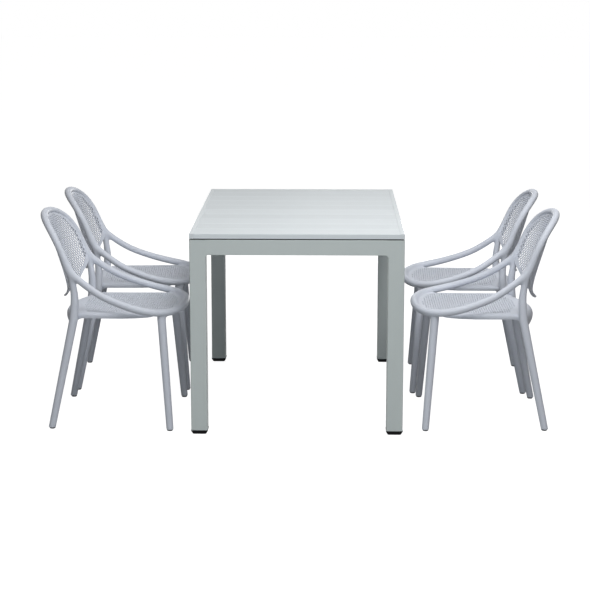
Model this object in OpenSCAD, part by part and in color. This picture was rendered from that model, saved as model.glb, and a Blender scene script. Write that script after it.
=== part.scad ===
// Patio dining set: slat-top table with four resin armchairs.
// Table centre on the floor is the origin, +Z up, +Y along the table, +X to the right-hand chairs.

/* [Table] */
// Width of the table top, across the slats
table_w = 780; // [700:10:860]
// Length of the table top
table_l = 1200; // [1180:10:1400]
// Height of the top face above the floor
table_h = 750; // [730:5:770]
// Side of the square leg tube
leg_w = 60; // [54:1:66]
// Wall of the leg and apron tubes
tube_wall = 2; // [1.5:0.5:3]
// Height of the apron tubes
apron_h = 56; // [50:1:64]
// Thickness of the apron tubes
apron_t = 25; // [20:1:30]
// Height of the black foot cap that shows below the leg
foot_h = 15; // [10:1:20]

/* [Table top] */
// Thickness of the slats and edge rails
top_t = 18; // [16:1:22]
// Width of each long edge rail
edge_w = 16; // [12:1:24]
// Gap between neighbouring slats
slat_gap = 1.6; // [1:0.2:4]
// Dark recess between the frame and the top
shadow_gap = 4; // [3:0.5:6]
// Wall of the hollow slats
slat_wall = 2.2; // [1.8:0.2:3]
// Size of the rails under the slats
rail_w = 30; // [24:1:36]
rail_h = 18; // [16:1:24]

/* [Chair] */
// Overall height of the chair
chair_h = 797; // [780:5:840]
// Height of the seat rim's centreline
seat_h = 437; // [420:1:450]
// Width over the arm centrelines
chair_w = 474; // [440:2:490]
// Thickness of the back and seat shells
shell_t = 5; // [4:0.5:6]
// Diameter of the legs at the seat
leg_top_d = 32; // [28:0.5:34]
// Diameter of the legs at the floor
leg_foot_d = 26; // [22:0.5:28]
// Spacing of the perforations in the back
back_pitch = 28; // [26:1:34]
// Side of each square perforation in the back
back_hole = 10; // [6:0.5:12]
// Spacing of the perforations in the seat
seat_pitch = 44; // [38:1:50]
// Side of each perforation in the seat
seat_hole = 11.5; // [6:0.5:13]

/* [Places of the chairs] */
// Distance from the table's middle to the middle of each chair's feet
chair_x = 692; // [680:2:760]
// Distance of the front chairs from the table's middle
front_y = 295; // [285:2:325]
// Distance of the rear chairs from the table's middle
rear_y = 275; // [265:2:300]

/* [Hidden] */
$fn = 48;
clear = 0.3; // gap kept between pieces that sit inside one another
corner_r = 4; // outer corner radius of the leg tube
slat_count = 10;
slat_pitch = (table_l + slat_gap) / slat_count;
slat_l = table_w - 2 * (edge_w + clear);
frame_top = table_h - top_t - shadow_gap;
slat_z = table_h - top_t;
apron_z = frame_top - apron_h;
bracket_t = 3;
bracket_h = 40;
bolt_d = 8;
plug_h = 60;
pad_w = 22;
bracket_leg = leg_w * 2 - apron_t; // where a bracket's diagonal meets an apron's inner face
flange = 28;
rail_wall = 2; // wall of the edge rails
end_cap_t = 2; // thickness of their end plates

// Chair drawn at its nominal size: x forward from the middle of the feet, y to its left, z up
nominal_h = 797;
nominal_seat = 437;
nominal_w = 474;
axis_x = 114; // upright axis in front of the back, about which its shell is turned
hoop_steps = 3; // rings of the hoop between two guide points
hoop_sides = 12;
glide_h = 5;
spigot_d = 9;
spigot_h = 14;

// ---------- helpers ----------

// Rectangle with exact round corners, centred
module round_rect(w, d, r) {
  square([w - 2 * r, d], center = true);
  square([w, d - 2 * r], center = true);
  for (x = [-1, 1], y = [-1, 1]) translate([x * (w / 2 - r), y * (d / 2 - r)]) circle(r = r);
}

// Repeats its child at the corner given by the signs sx and sy, facing outwards
module at_corner(sx, sy) {
  mirror([sx < 0 ? 1 : 0, 0, 0]) mirror([0, sy < 0 ? 1 : 0, 0]) children();
}

// Repeats its child at the four corners
module at_corners() {
  for (sx = [-1, 1], sy = [-1, 1]) at_corner(sx, sy) children();
}

// Uniform cubic B-spline blend of four neighbouring points
function blend4(a, b, c, d, t) =
  (a * pow(1 - t, 3) + b * (3 * pow(t, 3) - 6 * pow(t, 2) + 4)
    + c * (-3 * pow(t, 3) + 3 * pow(t, 2) + 3 * t + 1) + d * pow(t, 3)) / 6;

// Guide points moved outwards so that the blended curve passes through the ones given
function sharpen_loop(p) = let (n = len(p))
  [for (i = [0:n - 1]) p[i] - (p[(i + n - 1) % n] - 2 * p[i] + p[(i + 1) % n]) / 6];
function sharpen_open(p) = let (n = len(p))
  [for (i = [0:n - 1]) i == 0 || i == n - 1 ? p[i] : p[i] - (p[i - 1] - 2 * p[i] + p[i + 1]) / 6];

// Smooth closed curve through points
function loop_curve(p, steps) = let (g = sharpen_loop(p), n = len(g))
  [for (i = [0:n - 1], k = [0:steps - 1])
    blend4(g[(i + n - 1) % n], g[i], g[(i + 1) % n], g[(i + 2) % n], k / steps)];

// Smooth open curve through points, from the first to the last
function open_curve(p, steps) = let (
    n = len(p),
    g = concat([2 * p[0] - p[1]], sharpen_open(p), [2 * p[n - 1] - p[n - 2]]))
  [for (i = [1:n - 1], k = [0:steps - (i == n - 1 ? 0 : 1)])
    blend4(g[i - 1], g[i], g[i + 1], g[min(i + 2, n + 1)], k / steps)];

function unit(v) = v / norm(v);
function xyz(p) = [p[0], p[1], p[2]];

// Circle of radius p[3] round the point p, square to the direction t, first spoke away from the point hub
function ring(p, t, hub, sides, grow) = let (
    n = unit(cross(t, xyz(p) - hub)),
    b = unit(cross(n, t)))
  [for (j = [0:sides - 1]) xyz(p) + (p[3] + grow) * (cos(360 * j / sides) * b + sin(360 * j / sides) * n)];

// Tube along a closed list of [x, y, z, radius]
module loop_tube(c, hub, sides, grow = 0) {
  n = len(c);
  pts = [for (i = [0:n - 1]) each
    ring(c[i], unit(xyz(c[(i + 1) % n] - c[(i + n - 1) % n])), hub, sides, grow)];
  faces = [for (i = [0:n - 1], j = [0:sides - 1]) let (
      a = i * sides + j, b = i * sides + (j + 1) % sides,
      c2 = ((i + 1) % n) * sides + (j + 1) % sides, d = ((i + 1) % n) * sides + j)
    each [[a, d, b], [b, d, c2]]];
  polyhedron(points = pts, faces = faces, convexity = 6);
}

// Tube along an open list of [x, y, z, radius], with flat ends
module open_tube(c, hub, sides, grow = 0) {
  n = len(c);
  pts = [for (i = [0:n - 1]) each
    ring(c[i], unit(xyz(c[min(i + 1, n - 1)] - c[max(i - 1, 0)])), hub, sides, grow)];
  walls = [for (i = [0:n - 2], j = [0:sides - 1]) let (
      a = i * sides + j, b = i * sides + (j + 1) % sides,
      c2 = (i + 1) * sides + (j + 1) % sides, d = (i + 1) * sides + j)
    each [[a, d, b], [b, d, c2]]];
  polyhedron(points = pts, faces = concat(walls,
    [[for (j = [0:sides - 1]) j], [for (j = [sides - 1:-1:0]) (n - 1) * sides + j]]), convexity = 4);
}

// ---------- table frame ----------

// Square leg tube with its bolt hole through the inner corner
module table_leg() {
  color([0.68, 0.71, 0.71]) translate([table_w / 2 - leg_w / 2, table_l / 2 - leg_w / 2, 0]) difference() {
    translate([0, 0, foot_h]) linear_extrude(frame_top - foot_h) difference() {
      round_rect(leg_w, leg_w, corner_r);
      round_rect(leg_w - 2 * tube_wall, leg_w - 2 * tube_wall, corner_r - tube_wall / 2);
    }
    translate([0, 0, apron_z + apron_h / 2]) rotate([90, 0, -45])
      cylinder(h = leg_w, d = bolt_d + 1);
  }
}

// Black end cap: plate with a lip, tapering to the floor, and a plug up inside the tube
module foot_cap() {
  plug = leg_w - 2 * tube_wall - 2 * clear;
  color([0.05, 0.05, 0.05]) translate([table_w / 2 - leg_w / 2, table_l / 2 - leg_w / 2, 0]) {
    hull() {
      translate([0, 0, foot_h - 3]) linear_extrude(3) round_rect(leg_w + 2, leg_w + 2, corner_r + 1, $fn = 16);
      linear_extrude(1) round_rect(leg_w - 10, leg_w - 10, corner_r + 3, $fn = 16);
    }
    translate([0, 0, foot_h]) linear_extrude(18) difference() {
      round_rect(plug, plug, corner_r - tube_wall / 2);
      round_rect(plug - 6, plug - 6, 1.5);
    }
  }
}

// Plug in the top of a leg tube; it closes the tube and takes the corner bolt
module leg_plug() {
  plug = leg_w - 2 * tube_wall - 2 * clear;
  translate([table_w / 2 - leg_w / 2, table_l / 2 - leg_w / 2, 0]) difference() {
    translate([0, 0, frame_top - plug_h]) linear_extrude(plug_h)
      round_rect(plug, plug, corner_r - tube_wall / 2);
    translate([0, 0, apron_z + apron_h / 2]) rotate([90, 0, -45]) cylinder(h = leg_w, d = bolt_d + 0.2);
  }
}

// Box tube of length l along Y, outer face towards +X at x = 0
module apron_tube(l) {
  rotate([90, 0, 0]) translate([0, 0, -l / 2]) linear_extrude(l) difference() {
    translate([-apron_t / 2, apron_z + apron_h / 2]) round_rect(apron_t, apron_h, 2);
    translate([-apron_t / 2, apron_z + apron_h / 2])
      round_rect(apron_t - 2 * tube_wall, apron_h - 2 * tube_wall, 1);
  }
}

// Long apron on the side sx
module side_apron(sx) {
  color([0.68, 0.71, 0.71]) at_corner(sx, 1) translate([table_w / 2, 0, 0]) difference() {
    apron_tube(table_l - 2 * leg_w);
    for (s = [-1, 1]) bracket_screw_hole(s * (table_l / 2 - bracket_leg - clear - flange / 2));
  }
}

// Short apron at the end sy, with screw holes for the brackets
module end_apron(sy) {
  color([0.68, 0.71, 0.71]) rotate([0, 0, sy * 90]) translate([table_l / 2, 0, 0]) difference() {
    apron_tube(table_w - 2 * leg_w);
    for (s = [-1, 1]) bracket_screw_hole(s * (table_w / 2 - bracket_leg - clear - flange / 2));
  }
}

// Hole for a bracket screw in the inner wall of an apron, at y along it
module bracket_screw_hole(y) {
  translate([-apron_t - 1, y, apron_z + apron_h / 2]) rotate([0, 90, 0]) cylinder(h = tube_wall + 2, d = 5);
}

// Bent corner bracket: two flanges on the aprons and a diagonal web against the leg
module corner_bracket() {
  cx = table_w / 2;
  cy = table_l / 2;
  k = bracket_t * sqrt(2);
  a = apron_t + clear / 3;
  b = bracket_leg + clear;
  z0 = apron_z + (apron_h - bracket_h) / 2;
  color([0.6, 0.62, 0.63]) difference() {
    translate([0, 0, z0]) linear_extrude(bracket_h) polygon([
      [cx - a, cy - b], [cx - a, cy - b - flange], [cx - a - bracket_t, cy - b - flange],
      [cx - a - bracket_t, cy - b - k + bracket_t], [cx - b - k + bracket_t, cy - a - bracket_t],
      [cx - b - flange, cy - a - bracket_t], [cx - b - flange, cy - a], [cx - b, cy - a]]);
    translate([cx - leg_w / 2, cy - leg_w / 2, apron_z + apron_h / 2]) rotate([90, 0, -45])
      cylinder(h = 2 * leg_w, d = bolt_d + 1);
    translate([cx - a - bracket_t - 1, cy - b - flange / 2, apron_z + apron_h / 2]) rotate([0, 90, 0])
      cylinder(h = bracket_t + 2, d = 5);
    translate([cx - b - flange / 2, cy - a - bracket_t - 1, apron_z + apron_h / 2]) rotate([-90, 0, 0])
      cylinder(h = bracket_t + 2, d = 5);
  }
}

// Hexagon bolt through a bracket into the leg plug
module corner_bolt() {
  reach = (apron_t + clear / 3 + bracket_leg + clear - leg_w) / sqrt(2) + bracket_t;
  translate([table_w / 2 - leg_w / 2, table_l / 2 - leg_w / 2, apron_z + apron_h / 2]) rotate([90, 0, -45]) {
    translate([0, 0, 10]) cylinder(h = reach - 10, d = bolt_d);
    translate([0, 0, reach]) cylinder(h = 5.5, d = 15, $fn = 6);
  }
}

// Pan-head screws of one bracket
module bracket_screw_pair() {
  cx = table_w / 2;
  cy = table_l / 2;
  a = apron_t + clear / 3 + bracket_t;
  b = bracket_leg + clear + flange / 2;
  translate([cx - a, cy - b, apron_z + apron_h / 2]) rotate([0, 90, 0]) pan_screw(bracket_t + tube_wall + 6);
  translate([cx - b, cy - a, apron_z + apron_h / 2]) rotate([-90, 0, 0]) pan_screw(bracket_t + tube_wall + 6);
}

// Screw with its head below z = 0 and its shank of length l above
module pan_screw(l) {
  cylinder(h = l, d = 4.6);
  translate([0, 0, -2.4]) cylinder(h = 2.4, d = 9);
}

// ---------- table top ----------

rail_x = table_w / 2 - bracket_leg - clear - flange - rail_w / 2 - 1; // clear of the brackets

// Rail under the slats, between the front and rear aprons
module slat_rail(s) {
  color([0.66, 0.69, 0.69]) translate([s * rail_x, 0, slat_z - rail_h]) difference() {
    rotate([90, 0, 0]) translate([0, rail_h / 2, -table_l / 2 + apron_t]) linear_extrude(table_l - 2 * apron_t)
      difference() {
        round_rect(rail_w, rail_h, 1.5);
        round_rect(rail_w - 3, rail_h - 3, 0.5);
      }
    for (i = [0:slat_count - 1]) translate([0, slat_y(i), -1]) cylinder(h = rail_h + 2, d = 5);
  }
}

function slat_y(i) = -table_l / 2 + slat_pitch * i + (slat_pitch - slat_gap) / 2;

// Edge rail along a long side of the top, a box tube
module edge_rail(s) {
  l = table_l - 2 * end_cap_t;
  color([0.8, 0.82, 0.83]) translate([s * (table_w / 2 - edge_w / 2), 0, slat_z + top_t / 2]) rotate([90, 0, 0])
    translate([0, 0, -l / 2]) linear_extrude(l) difference() {
      round_rect(edge_w, top_t, 1.5);
      round_rect(edge_w - 2 * rail_wall, top_t - 2 * rail_wall, 0.6);
    }
}

// End plate of an edge rail with its plug inside the tube
module end_cap() {
  translate([table_w / 2 - edge_w / 2, table_l / 2, slat_z + top_t / 2]) rotate([90, 0, 0]) {
    linear_extrude(end_cap_t) round_rect(edge_w, top_t, 1.5);
    translate([0, 0, end_cap_t]) linear_extrude(12)
      square([edge_w - 2 * rail_wall - 2 * clear, top_t - 2 * rail_wall - 2 * clear], center = true);
  }
}

// One hollow slat with two inner ribs and its screw holes underneath
module slat(i) {
  w = slat_pitch - slat_gap;
  cell = (w - 4 * slat_wall) / 3;
  color([0.84, 0.86, 0.87]) translate([0, slat_y(i), slat_z]) difference() {
    rotate([90, 0, 90]) translate([0, top_t / 2, -slat_l / 2]) linear_extrude(slat_l) difference() {
      round_rect(w, top_t, 1.5);
      for (k = [-1:1]) translate([k * (cell + slat_wall), 0]) round_rect(cell, top_t - 2 * slat_wall, 1);
    }
    for (s = [-1, 1]) translate([s * rail_x, 0, -1]) cylinder(h = slat_wall + 2, d = 5);
  }
}

// Spacer pads on the aprons; they carry the top and leave the dark recess
module pads() {
  for (sx = [-1, 1], i = [0:slat_count - 1])
    translate([sx * (table_w / 2 - pad_w / 2 - 6) - pad_w / 2, slat_y(i) - 15, frame_top])
      cube([pad_w, 30, shadow_gap]);
}

// Screws up through the rails into the slats
module slat_screw_set() {
  for (s = [-1, 1], i = [0:slat_count - 1])
    translate([s * rail_x, slat_y(i), slat_z - rail_h]) pan_screw(rail_h + slat_wall + 4);
}

// ---------- chair ----------

// Nominal chair sizes stretched to the driving dimensions
function side(y) = y * chair_w / nominal_w;
function high(z) = z <= nominal_seat ? z * seat_h / nominal_seat
  : seat_h + (z - nominal_seat) * (chair_h - seat_h) / (nominal_h - nominal_seat);

// Upright profile of the back shell along its middle: [x, z]
back_line = [for (p = [[-213.5, 463], [-204, 472], [-198, 488], [-196.5, 510], [-209.5, 568], [-231, 640],
  [-252, 712], [-266, 768], [-275, 815]]) [p[0], high(p[1])]];
back_by_height = [for (p = back_line) [p[1], p[0]]];

// Place of the back shell at [y, z]: the profile turned about an upright axis in front of it
function on_back(y, z) = axis_x - sqrt(pow(axis_x - lookup(z, back_by_height), 2) - y * y);

// Half the hoop from the top of the back to the front of the seat. The first points lie on the back shell
hoop_half = concat(
  [for (p = [[0, 784, 13], [87, 775.5, 12.8], [153, 747, 12.6], [188, 699.5, 12.4], [198, 642, 12.4],
    [201, 590, 12.2]])
    [on_back(side(p[0]), high(p[1])), side(p[0]), high(p[1]), p[2]]],
  [for (p = [[-88, 208.5, 541, 12.8], [-28, 222.6, 502.8, 12.8], [45, 232.6, 473.8, 13], [118, 237, 452, 13.6],
    [186, 216, 440.8, 13.8], [228, 164, 437, 14], [252, 86, 437, 14], [258, 0, 437, 14]])
    [p[0], side(p[1]), high(p[2]), p[3]]]);
hoop_hub = [-20, 0, high(600)];
hoop_line = loop_curve(concat(hoop_half,
  [for (i = [len(hoop_half) - 2:-1:1]) [hoop_half[i][0], -hoop_half[i][1], hoop_half[i][2], hoop_half[i][3]]]),
  hoop_steps);

// Points beside a stretch of the hoop, on the inside, seen along X (a = 1, b = 2) or from above (a = 0, b = 1)
function beside_hoop(from, to, a, b, turn) = [for (i = [from:to]) let (
    p = hoop_line[i - 1], q = hoop_line[i + 1], t = unit([q[a] - p[a], q[b] - p[b]]))
  [hoop_line[i][a], hoop_line[i][b]] + turn * (hoop_line[i][3] + clear) * [t[1], -t[0]]];

// Both halves of an outline from the half with positive y; y is member k of each point
function both_halves(h, k) = concat(h, [for (i = [len(h) - 1:-1:0])
  k == 0 ? [-h[i][0], h[i][1]] : [h[i][0], -h[i][1]]]);

// Half outline of the back as [y, z]: inside the hoop, down beside the leg and round the tongue
back_low = [for (p = [[183, 572], [183, 546], [175, 537], [160, 530], [138, 520], [118, 505],
  [99, 487], [72, 472], [38, 465]]) [side(p[0]), high(p[1])]];
back_half = concat(beside_hoop(1, hoop_steps * 5 - 1, 1, 2, 1), back_low);
back_width = [for (i = [len(back_half) - 1:-1:0]) [back_half[i][1], back_half[i][0]]];

// Closed band of thickness t round a line of points
function band(line, t) = let (n = len(line), side_of = [for (i = [0:n - 1])
    let (d = unit(line[min(i + 1, n - 1)] - line[max(i - 1, 0)])) [-d[1], d[0]]])
  concat([for (i = [0:n - 1]) line[i] + side_of[i] * t / 2],
    [for (i = [n - 1:-1:0]) line[i] - side_of[i] * t / 2]);

// Hoop: back rim, arms and front rim of the seat in one loop
module hoop(grow = 0) {
  loop_tube(hoop_line, hoop_hub, hoop_sides, grow);
}

// Stretch of the hoop between two of its rings, drawn fuller to cut a seat for a leg
module hoop_stretch(from, to, grow) {
  open_tube([for (i = [from:to]) hoop_line[i]], hoop_hub, hoop_sides, grow);
}

// Back: a shell turned about the upright axis, cut to its outline and perforated
module chair_back() {
  difference() {
    intersection() {
      translate([axis_x, 0, 0]) rotate([0, 0, 180 - 65]) rotate_extrude(angle = 130, $fn = 96)
        polygon([for (p = band(back_line, shell_t)) [axis_x - p[0], p[1]]]);
      rotate([90, 0, -90]) translate([0, 0, 60]) linear_extrude(300) polygon(both_halves(back_half, 0));
    }
    rotate([90, 0, -90]) translate([0, 0, 60]) linear_extrude(300) back_holes();
  }
}

// Staggered diamonds of the back, kept clear of its border
module back_holes() {
  half = back_pitch / 2;
  for (j = [round(high(480) / half):round(high(765) / half)], i = [-20:20])
    if ((i + j) % 2 == 0 && abs(i) * half < lookup(j * half - 8, back_width) - 22
        && abs(i) * half < lookup(j * half + 22, back_width) - 10)
      translate([i * half, j * half]) rotate(45) square(back_hole, center = true);
}

// Seat: a shell turned about an upright axis, with a rear lip that rolls down
seat_axis = 168;
seat_level = 433.5; // nominal height of the middle of the seat shell
seat_line = concat(
  open_curve([for (p = [[348, 373], [357, 393], [356, 413], [342, 426], [300, 432.7], [230, seat_level]])
    [p[0], high(p[1])]], 3),
  [[200, high(seat_level)], [0, high(seat_level)]]);
front_index = hoop_steps * (len(hoop_half) - 1);
side_index = hoop_steps * (len(hoop_half) - 5);
seat_half = concat(
  [for (p = [[-192, 20], [-186, 68], [-172, 119], [-156, 156], [-143, 180], [-130, 196], [-100, 204], [-20, 206],
    [60, 207]]) [p[0], side(p[1])]],
  beside_hoop(side_index, front_index - 1, 0, 1, 1));

function inset(p, d) = let (n = len(p)) [for (i = [0:n - 1])
  let (t = unit(p[(i + 1) % n] - p[(i + n - 1) % n])) p[i] + d * [-t[1], t[0]]];

module chair_seat() {
  outline = both_halves(seat_half, 1);
  top = high(seat_level) + shell_t / 2;
  difference() {
    union() {
      intersection() {
        translate([seat_axis, 0, 0]) rotate_extrude($fn = 96)
          polygon([for (p = band(seat_line, shell_t)) [max(0, p[0]), round(p[1] * 100) / 100]]);
        translate([0, 0, high(350)]) linear_extrude(120) polygon(outline);
      }
      intersection() {
        translate([0, 0, high(420)]) linear_extrude(top - 2 - high(420)) difference() {
          polygon(outline);
          polygon(inset(outline, -4));
        }
        translate([-112, -chair_w / 2, 0]) cube([500, chair_w, chair_h]);
      }
    }
    translate([0, 0, high(350)]) linear_extrude(120) seat_holes();
    for (s = [0, 1]) mirror([0, s, 0]) leg_stretch(0, 4, clear);
  }
}

// Staggered holes of the seat, kept clear of its border
module seat_holes() {
  half = seat_pitch / 2;
  for (i = [ceil(-150 / half):floor(225 / half)], j = [-20:20])
    if ((i + j) % 2 == 0 && norm([max(0, i * half - 60), j * half]) < 172 * chair_w / nominal_w
        && norm([i * half - seat_axis, j * half]) < 321)
      translate([i * half, j * half]) rotate(45) square(seat_hole, center = true);
}

// Rear leg: straight to the seat, then bending up into the hoop
rear_foot = [-223, 234, 0];
rear_line = concat(
  [[rear_foot[0], side(rear_foot[1]), 0, leg_foot_d / 2]],
  open_curve([for (p = [[-136, 207, 410, leg_top_d / 2], [-131, 203, 470, leg_top_d / 2 - 1],
    [-133, 199.5, 515, leg_top_d / 2 - 3], [-141, 199.5, 560, leg_top_d / 2 - 4.5],
    [-152.5, 199.5, 600, leg_top_d / 2 - 5.5], [-160, 198.5, 620, leg_top_d / 2 - 6]])
    [p[0], side(p[1]), high(p[2]), p[3]]], 2));

module leg_stretch(from, to, grow = 0) {
  open_tube([for (i = [from:to]) rear_line[i]], [0, 0, 200], hoop_sides, grow);
}

module chair_rear_legs() {
  for (s = [0, 1]) mirror([0, s, 0]) difference() {
    leg_stretch(0, len(rear_line) - 1);
    hoop_stretch(hoop_steps * 3, hoop_steps * 6 + 1, clear);
    leg_foot_cut(rear_line[0], rear_line[1]);
  }
}

// Front leg: a straight taper up to the front rim
front_foot = [223, 248, 0];
front_top = [190.5, 201, 430];

module chair_front_legs() {
  a = [front_foot[0], side(front_foot[1]), 0];
  b = [front_top[0], side(front_top[1]), high(front_top[2])];
  for (s = [0, 1]) mirror([0, s, 0]) difference() {
    open_tube([concat(a, [leg_foot_d / 2]), concat(b, [leg_top_d / 2])], [0, 0, 200], hoop_sides);
    hoop_stretch(front_index - 12, front_index - 6, clear);
    translate([0, 0, high(420) - clear]) linear_extrude(60) polygon(both_halves(seat_half, 1));
    leg_foot_cut(a, b);
  }
}

// Flat foot of a leg and the upright bore for its glide, where the leg meets the floor at a on its way to b
module leg_foot_cut(a, b) {
  p = foot_middle(a, b);
  translate([p[0] - 40, p[1] - 40, -60]) cube([80, 80, 60 + glide_h]);
  translate([p[0], p[1], -30]) cylinder(h = 30 + glide_h + spigot_h, d = spigot_d + 0.4);
}

// Middle of a leg halfway up its glide's spigot
function foot_middle(a, b) = xyz(a) + (xyz(b) - xyz(a)) * (glide_h + spigot_h / 2) / (b[2] - a[2]);

// Glides: a disc on the floor with a spigot up into the leg
module chair_glides() {
  ends = [[rear_line[0], rear_line[1]],
    [[front_foot[0], side(front_foot[1]), 0], [front_top[0], side(front_top[1]), high(front_top[2])]]];
  for (e = ends, s = [-1, 1]) {
    p = foot_middle(e[0], e[1]);
    translate([p[0], s * p[1], 0]) rotate_extrude()
      polygon([[0, 0], [leg_foot_d / 2 - 4, 0], [leg_foot_d / 2 - 2, 2], [leg_foot_d / 2 - 2, glide_h],
        [spigot_d / 2, glide_h], [spigot_d / 2, glide_h + spigot_h - 1], [0, glide_h + spigot_h - 1]]);
  }
}

// Where each chair stands: [x, y, heading of its seat]
chair_places = [
  [-chair_x + 3, -front_y - 5, -1.5],
  [chair_x + 9, -front_y + 5, 179.8],
  [-chair_x + 2, rear_y + 17, 2.3],
  [chair_x - 4, rear_y - 18, 178.1]
];

module placed(i) {
  translate([chair_places[i][0], chair_places[i][1], 0]) rotate([0, 0, chair_places[i][2]]) children();
}

resin = [0.82, 0.84, 0.88];
module chair_hoop_at(i) { color(resin) placed(i) hoop(); }
module chair_back_at(i) { color(resin) placed(i) chair_back(); }
module chair_seat_at(i) { color(resin) placed(i) chair_seat(); }
module chair_rear_legs_at(i) { color(resin) placed(i) chair_rear_legs(); }
module chair_front_legs_at(i) { color(resin) placed(i) chair_front_legs(); }
module chair_glides_at(i) { color([0.25, 0.26, 0.28]) placed(i) chair_glides(); }

// ---------- nodes ----------

at_corner(-1, -1) table_leg();  // leg_front_left
at_corner(1, -1) table_leg();  // leg_front_right
at_corner(-1, 1) table_leg();  // leg_rear_left
at_corner(1, 1) table_leg();  // leg_rear_right
at_corner(-1, -1) foot_cap();  // foot_cap_front_left
at_corner(1, -1) foot_cap();  // foot_cap_front_right
at_corner(-1, 1) foot_cap();  // foot_cap_rear_left
at_corner(1, 1) foot_cap();  // foot_cap_rear_right
color([0.2, 0.2, 0.2]) at_corners() leg_plug();  // leg_plugs
end_apron(-1);  // apron_front
end_apron(1);  // apron_rear
side_apron(-1);  // apron_left
side_apron(1);  // apron_right
at_corner(-1, -1) corner_bracket();  // bracket_front_left
at_corner(1, -1) corner_bracket();  // bracket_front_right
at_corner(-1, 1) corner_bracket();  // bracket_rear_left
at_corner(1, 1) corner_bracket();  // bracket_rear_right
color([0.7, 0.7, 0.72]) at_corners() corner_bolt();  // corner_bolts
color([0.7, 0.7, 0.72]) at_corners() bracket_screw_pair();  // bracket_screws
slat_rail(-1);  // rail_left
slat_rail(1);  // rail_right
edge_rail(-1);  // edge_rail_left
edge_rail(1);  // edge_rail_right
color([0.8, 0.82, 0.83]) at_corners() end_cap();  // edge_caps
slat(0);  // slat_01
slat(1);  // slat_02
slat(2);  // slat_03
slat(3);  // slat_04
slat(4);  // slat_05
slat(5);  // slat_06
slat(6);  // slat_07
slat(7);  // slat_08
slat(8);  // slat_09
slat(9);  // slat_10
color([0.08, 0.08, 0.08]) pads();  // spacer_pads
color([0.7, 0.7, 0.72]) slat_screw_set();  // slat_screws
chair_hoop_at(0);  // chair_1_hoop
chair_back_at(0);  // chair_1_back
chair_seat_at(0);  // chair_1_seat
chair_rear_legs_at(0);  // chair_1_rear_legs
chair_front_legs_at(0);  // chair_1_front_legs
chair_glides_at(0);  // chair_1_glides
chair_hoop_at(1);  // chair_2_hoop
chair_back_at(1);  // chair_2_back
chair_seat_at(1);  // chair_2_seat
chair_rear_legs_at(1);  // chair_2_rear_legs
chair_front_legs_at(1);  // chair_2_front_legs
chair_glides_at(1);  // chair_2_glides
chair_hoop_at(2);  // chair_3_hoop
chair_back_at(2);  // chair_3_back
chair_seat_at(2);  // chair_3_seat
chair_rear_legs_at(2);  // chair_3_rear_legs
chair_front_legs_at(2);  // chair_3_front_legs
chair_glides_at(2);  // chair_3_glides
chair_hoop_at(3);  // chair_4_hoop
chair_back_at(3);  // chair_4_back
chair_seat_at(3);  // chair_4_seat
chair_rear_legs_at(3);  // chair_4_rear_legs
chair_front_legs_at(3);  // chair_4_front_legs
chair_glides_at(3);  // chair_4_glides
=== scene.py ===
import math
import bpy
import numpy as np
from mathutils.geometry import delaunay_2d_cdt
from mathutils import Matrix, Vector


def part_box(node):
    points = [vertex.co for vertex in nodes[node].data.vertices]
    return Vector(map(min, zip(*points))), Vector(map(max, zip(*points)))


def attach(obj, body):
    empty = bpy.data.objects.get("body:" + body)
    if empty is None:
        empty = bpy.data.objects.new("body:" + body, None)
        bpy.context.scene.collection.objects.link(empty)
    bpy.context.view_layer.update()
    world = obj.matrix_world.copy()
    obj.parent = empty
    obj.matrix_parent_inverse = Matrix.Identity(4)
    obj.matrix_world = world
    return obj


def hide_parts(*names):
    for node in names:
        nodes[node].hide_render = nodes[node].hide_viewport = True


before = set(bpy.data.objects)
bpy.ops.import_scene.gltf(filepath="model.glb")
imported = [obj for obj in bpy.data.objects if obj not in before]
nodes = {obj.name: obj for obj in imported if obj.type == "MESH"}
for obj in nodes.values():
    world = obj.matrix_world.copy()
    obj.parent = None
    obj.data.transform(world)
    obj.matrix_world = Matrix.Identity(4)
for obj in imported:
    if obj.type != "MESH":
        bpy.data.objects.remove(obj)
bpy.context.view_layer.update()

# ---------------------------------------------------------------- camera
# A long lens six metres in front of the table, a little right of its middle and 1.73 m up,
# looking slightly down and to the left.
camera_data = bpy.data.cameras.new("camera")
camera_data.sensor_width = 36
camera_data.lens = 102.8
camera = bpy.data.objects.new("camera", camera_data)
camera.location = (0.1055, -6.5972, 1.7316)
camera.rotation_euler = (math.pi / 2 - 0.1983, 0, 0.0187)
bpy.context.scene.collection.objects.link(camera)
bpy.context.scene.camera = camera
bpy.context.scene.view_settings.view_transform = "Standard"

# ---------------------------------------------------------------- studio
# A pale floor that keeps the set's soft shadow and a plain pale surround. A wide lamp high in
# front and one above the top do most of the lighting; weak ones stand low in front and behind.
world = bpy.data.worlds.new("surround")
bpy.context.scene.world = world
world.use_nodes = True
w = world.node_tree
w.nodes.clear()
seen = w.nodes.new("ShaderNodeBackground")
seen.inputs["Color"].default_value = (1, 1, 1, 1)
seen.inputs["Strength"].default_value = 1.0
glow = w.nodes.new("ShaderNodeBackground")
glow.inputs["Color"].default_value = (1, 0.98, 0.95, 1)
glow.inputs["Strength"].default_value = 0.10


def seen_rays(tree):
    """One for a ray from the camera, a mirror-like reflection or glass, nought for any other:
    the largest of the three Light Path values."""
    path = tree.nodes.new("ShaderNodeLightPath")
    total = path.outputs["Is Camera Ray"]
    for kind in ("Is Glossy Ray", "Is Transmission Ray"):
        either = tree.nodes.new("ShaderNodeMath")
        either.operation = "MAXIMUM"
        tree.links.new(total, either.inputs[0])
        tree.links.new(path.outputs[kind], either.inputs[1])
        total = either.outputs[0]
    return total


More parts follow.
